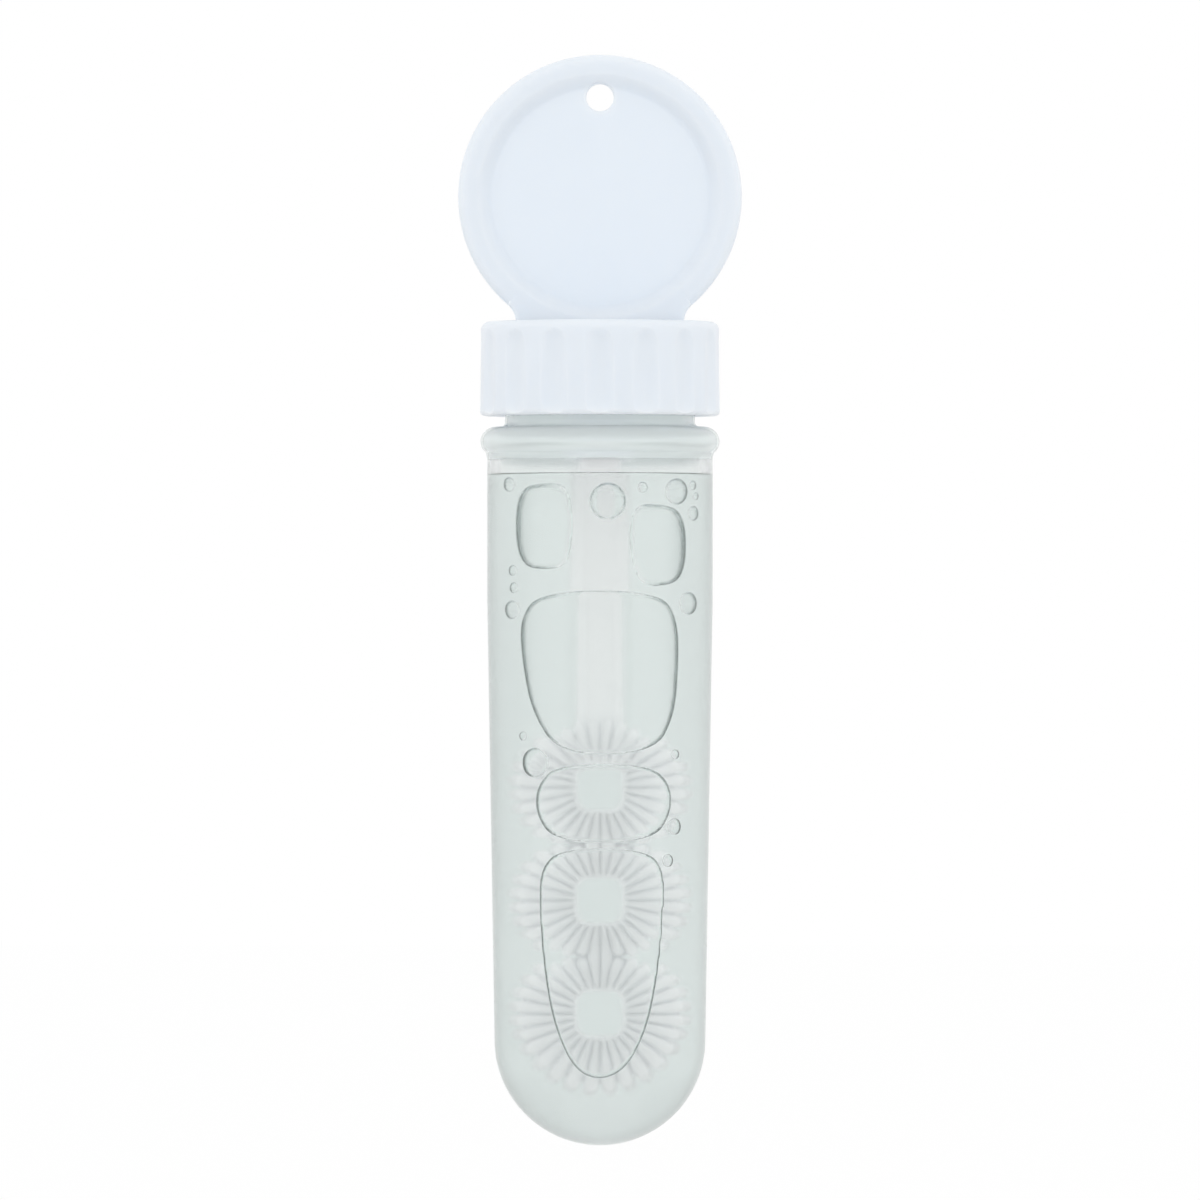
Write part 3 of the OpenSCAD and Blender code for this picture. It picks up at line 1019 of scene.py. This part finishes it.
@dataclass
class Wand:
    """The wand with a railed stem and three rings of petals round a squarish hole."""

    top_w: float = 4.4
    foot_w: float = 5.2
    stem_t: float = 3.0
    web_t: float = 1.1
    rail_w: float = 1.0
    top_z: float = 0.4
    plug: tuple[float, float, float] = (4.0, 2.4, 7.0)
    ring_count: int = 3
    ring_r: float = 7.5
    first_z: float = -36.4
    pitch: float = 12.4
    hole_half: float = 2.45
    hole_corner: float = 1.3
    hole_rim: float = 0.4
    ring_t: float = 3.0
    ring_web_t: float = 1.2
    petal_count: int = 28
    petal_gap: float = 0.35
    root_gap: float = 0.22
    petal_edge: float = 0.2
    petal_free: float = 0.9
    petal_middle: float = 0.6
    rail_edge: float = 0.22
    plug_edge: float = 0.25
    hub_edge: float = 0.18

    def ring_z(self, number: int) -> float:
        """Gives the height of a ring's centre.

        Args:
            number: The ring, counted from the stem.

        Returns:
            Its height in millimetres.
        """
        return self.first_z - number * self.pitch

    def reach(self, number: int, angle: float) -> float:
        """Gives how far a petal reaches from its ring's centre.

        Args:
            number: The ring, counted from the stem.
            angle: The petal's angle from straight up, in radians.

        Returns:
            Its reach in millimetres.
        """
        up = math.cos(angle) > 0
        meets = number > 0 if up else number < self.ring_count - 1
        if not meets:
            return self.ring_r
        links = abs(math.sin(angle)) < math.sin(math.tau / self.petal_count)
        room = self.pitch / 2 + (self.petal_gap if links else -self.petal_gap / 2)
        return min(self.ring_r, room / abs(math.cos(angle)))

    def hub_reach(self, angle: float) -> float:
        """Gives the distance from a ring's centre to the edge of its hub.

        Args:
            angle: The direction from straight up, in radians.

        Returns:
            The distance in millimetres.
        """
        half = self.hole_half + self.hole_rim
        corner = self.hole_corner + self.hole_rim
        inner = half - corner
        low, high = sorted((abs(math.sin(angle)), abs(math.cos(angle))))
        if half / high * low <= inner:
            return half / high
        along = inner * (high + low)
        across = inner * (high - low)
        return along + math.sqrt(corner ** 2 - across ** 2)

    def stem(self) -> bpy.types.Object:
        """Models the stem, with a rail along each edge and a thinner web between them.

        Returns:
            The stem.
        """
        foot_z = self.ring_z(0) + self.hole_half + self.hole_rim / 2
        bpy.ops.object.select_all(action="DESELECT")
        bpy.ops.mesh.primitive_cube_add(size=MM)
        stem = bpy.context.object
        edit(stem)
        bpy.ops.transform.resize(value=(self.foot_w, self.stem_t, self.top_z - foot_z))
        bpy.ops.transform.translate(value=Vector((0, 0, (self.top_z + foot_z) / 2)) * MM)
        slack = 0.1
        pick(stem, lambda place: place.z > self.top_z - slack)
        bpy.ops.transform.resize(value=(self.top_w / self.foot_w, 1, 1))
        facing = 0.9
        for side in (-1, 1):
            pick_faces(stem, lambda normal, side=side: normal.y * side > facing)
            bpy.ops.mesh.inset(thickness=self.rail_w * MM)
            bpy.ops.transform.translate(value=Vector((0, -side * (self.stem_t - self.web_t) / 2, 0)) * MM)
        bpy.ops.mesh.select_mode(type="VERT")
        tidy_mesh()
        apply(stem, "BEVEL", width=self.rail_edge * MM, segments=3, limit_method="ANGLE",
              angle_limit=math.radians(40))
        return stem

    def plug_block(self) -> bpy.types.Object:
        """Models the plug that is pressed into the cap's socket.

        Returns:
            The plug.
        """
        width, depth, height = self.plug
        plug = block("wand_plug", width, depth, self.top_z - self.rail_w, self.top_z + height)
        apply(plug, "BEVEL", width=self.plug_edge * MM, segments=2)
        return plug

    def petal(self) -> bpy.types.Object:
        """Models one petal at full reach, straight up from the origin.

        Returns:
            The petal, plump and with a round tip.
        """
        step = math.pi / self.petal_count
        tip = (step * self.ring_r - self.petal_gap / 2) / (1 + step)
        hub = self.hole_half + self.hole_rim
        root = step * hub - self.root_gap / 2
        foot = (root, hub - self.hole_rim)
        outline = [(-foot[0], foot[1]), foot, *arc((0.0, self.ring_r - tip), tip, -6, 186, 12)]
        petal = plate("petal", outline, -self.ring_t / 2, self.ring_t / 2)
        apply(petal, "BEVEL", width=self.petal_edge * MM, segments=3, limit_method="ANGLE",
              angle_limit=math.radians(60))
        return petal

    def ring(self, number: int, petal: bpy.types.Object) -> list[bpy.types.Object]:
        """Models one ring: its web, its hub and its petals.

        Args:
            number: The ring, counted from the stem.
            petal: The petal to copy.

        Returns:
            The ring's parts.
        """
        lift = Matrix.Translation((0, 0, self.ring_z(number) * MM))
        web = plate("ring_web", arc((0, 0), self.ring_r - self.petal_free, 0, 358, 100),
                    -self.ring_web_t / 2, self.ring_web_t / 2)
        hub = plate("ring_hub", squarish(self.hole_half + self.hole_rim, self.hole_corner + self.hole_rim),
                    -self.ring_t / 2, self.ring_t / 2)
        apply(hub, "BEVEL", width=self.hub_edge * MM, segments=2, limit_method="ANGLE",
              angle_limit=math.radians(50))
        combine(hub, web, Mix.ADD)
        hole = plate("ring_hole", squarish(self.hole_half, self.hole_corner), front=-4, back=4)
        combine(hub, hole, Mix.TAKE)
        hub.data.transform(lift)
        parts = [hub]
        for index in range(self.petal_count):
            angle = math.tau * (index + 0.5) / self.petal_count
            turn = lift @ Matrix.Rotation(angle, 4, "Y")
            copy = copy_of(petal, Matrix.Identity(4))
            mid = self.ring_r * self.petal_middle
            for vert in copy.data.vertices:
                if vert.co.z > mid * MM:
                    vert.co.z += (self.reach(number, angle) - self.ring_r) * MM
                else:
                    vert.co.z += (self.hub_reach(angle) - self.hole_half - self.hole_rim) * MM
            copy.data.transform(turn)
            parts.append(copy)
        return parts

    def build(self) -> bpy.types.Object:
        """Models the whole wand.

        Returns:
            The wand.
        """
        petal = self.petal()
        wand = self.stem()
        wand.name = "wand_moulding"
        wand.data.name = "wand_moulding"
        combine(wand, self.plug_block(), Mix.ADD)
        for number in range(self.ring_count):
            parts = self.ring(number, petal)
            for copy in parts[1:]:
                combine(parts[0], copy, Mix.ADD)
            combine(wand, parts[0], Mix.ADD)
        bpy.data.objects.remove(petal, do_unlink=True)
        smooth(wand, degrees=40)
        WAND_PLASTIC.dress(wand)
        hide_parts("wand")
        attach(wand, "cap")
        return wand


@dataclass
class Studio:
    """The floor, the soft light and the camera at the photograph's viewing angle."""

    centre_z: float = -15.84
    width: float = 132.0
    distance: float = 1200.0
    sensor: float = 36.0
    floor_z: float = -75.9
    floor_size_m: float = 1.2
    floor_back_m: float = 0.1
    floor_grey: float = 0.9
    floor_rough: float = 0.9
    floor_glow: float = 0.97
    level: float = 0.94
    lamp_size_m: Point = (0.6, 0.7)
    side_lamp_m: tuple[float, float, float] = (0.62, -0.42, 0.1)
    side_watts: float = 0.35
    front_lamp_m: tuple[float, float, float] = (0.0, -0.85, 0.45)
    front_watts: float = 0.2

    def world(self) -> None:
        """Makes a white surrounding for the rays that see the background, and plain light for the rest."""
        world = bpy.data.worlds.new("studio")
        world.use_nodes = True
        bpy.context.scene.world = world
        tree = world.node_tree
        tree.nodes.clear()
        light = tree.nodes.new("ShaderNodeBackground")
        light.inputs["Color"].default_value = (1.0, 1.0, 1.0, 1.0)
        light.inputs["Strength"].default_value = self.level
        white = tree.nodes.new("ShaderNodeBackground")
        white.inputs["Color"].default_value = (1.0, 1.0, 1.0, 1.0)
        white.inputs["Strength"].default_value = 1.0
        mix = tree.nodes.new("ShaderNodeMixShader")
        tree.links.new(background_rays(tree), mix.inputs[0])
        tree.links.new(light.outputs[0], mix.inputs[1])
        tree.links.new(white.outputs[0], mix.inputs[2])
        out = tree.nodes.new("ShaderNodeOutputWorld")
        tree.links.new(mix.outputs[0], out.inputs["Surface"])

    def floor(self) -> None:
        """Lays a plain pale floor just under the tube."""
        bpy.ops.object.select_all(action="DESELECT")
        place = (0, self.floor_back_m, self.floor_z * MM)
        bpy.ops.mesh.primitive_plane_add(size=self.floor_size_m, location=place)
        floor = bpy.context.object
        floor.name = "studio_floor"
        material = bpy.data.materials.new("studio_floor")
        material.use_nodes = True
        tree = material.node_tree
        shader = tree.nodes["Principled BSDF"]
        shader.inputs["Base Color"].default_value = (self.floor_grey, self.floor_grey, self.floor_grey, 1.0)
        shader.inputs["Roughness"].default_value = self.floor_rough
        glow = tree.nodes.new("ShaderNodeEmission")
        share = tree.nodes.new("ShaderNodeMath")
        share.operation = "MULTIPLY"
        share.inputs[1].default_value = self.floor_glow
        tree.links.new(background_rays(tree), share.inputs[0])
        mix = tree.nodes.new("ShaderNodeMixShader")
        tree.links.new(share.outputs[0], mix.inputs[0])
        tree.links.new(shader.outputs[0], mix.inputs[1])
        tree.links.new(glow.outputs[0], mix.inputs[2])
        tree.links.new(mix.outputs[0], tree.nodes["Material Output"].inputs["Surface"])
        floor.data.materials.append(material)

    def lamps(self) -> None:
        """Hangs large soft lamps to the left, to the right and in front, above the camera."""
        aim = Vector((0, 0, self.centre_z * MM))
        across, back, up = self.side_lamp_m
        spots = (
            ("lamp_left", (-across, back, up), self.side_watts),
            ("lamp_right", (across, back, up), self.side_watts),
            ("lamp_front", self.front_lamp_m, self.front_watts),
        )
        for name, place, watts in spots:
            bpy.ops.object.select_all(action="DESELECT")
            bpy.ops.object.light_add(type="AREA", location=place)
            lamp = bpy.context.object
            lamp.name = name
            lamp.data.shape = "RECTANGLE"
            lamp.data.size, lamp.data.size_y = self.lamp_size_m
            lamp.data.energy = watts
            lamp.rotation_euler = (aim - lamp.location).to_track_quat("-Z", "Y").to_euler()

    def camera(self) -> None:
        """Sets the camera straight in front of the tag."""
        data = bpy.data.cameras.new("studio_camera")
        camera = bpy.data.objects.new("studio_camera", data)
        bpy.context.scene.collection.objects.link(camera)
        camera.location = Vector((0, -self.distance, self.centre_z)) * MM
        camera.rotation_euler = (math.radians(90), 0, 0)
        data.sensor_width = self.sensor
        data.sensor_fit = "HORIZONTAL"
        data.lens = self.sensor * self.distance / self.width
        data.clip_start = 0.01
        data.dof.use_dof = False
        bpy.context.scene.camera = camera

    def build(self) -> None:
        """Sets up the whole studio."""
        self.camera()
        self.world()
        self.floor()
        self.lamps()
        scene = bpy.context.scene
        scene.view_settings.view_transform = "Standard"
        scene.cycles.max_bounces = 48
        scene.cycles.diffuse_bounces = 10
        scene.cycles.glossy_bounces = 36
        scene.cycles.transmission_bounces = 48


def main() -> None:
    """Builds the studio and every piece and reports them."""
    logging.basicConfig(level=logging.INFO, format="%(name)s: %(message)s")
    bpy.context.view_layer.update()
    Studio().build()
    tube = BubbleTube()
    for part in (tube, SoapSolution(tube), SealingWad(), ScrewCap(), Wand()):
        piece = part.build()
        LOG.info("%s: %d faces", piece.name, len(piece.data.polygons))


if __name__ == "__main__":
    main()
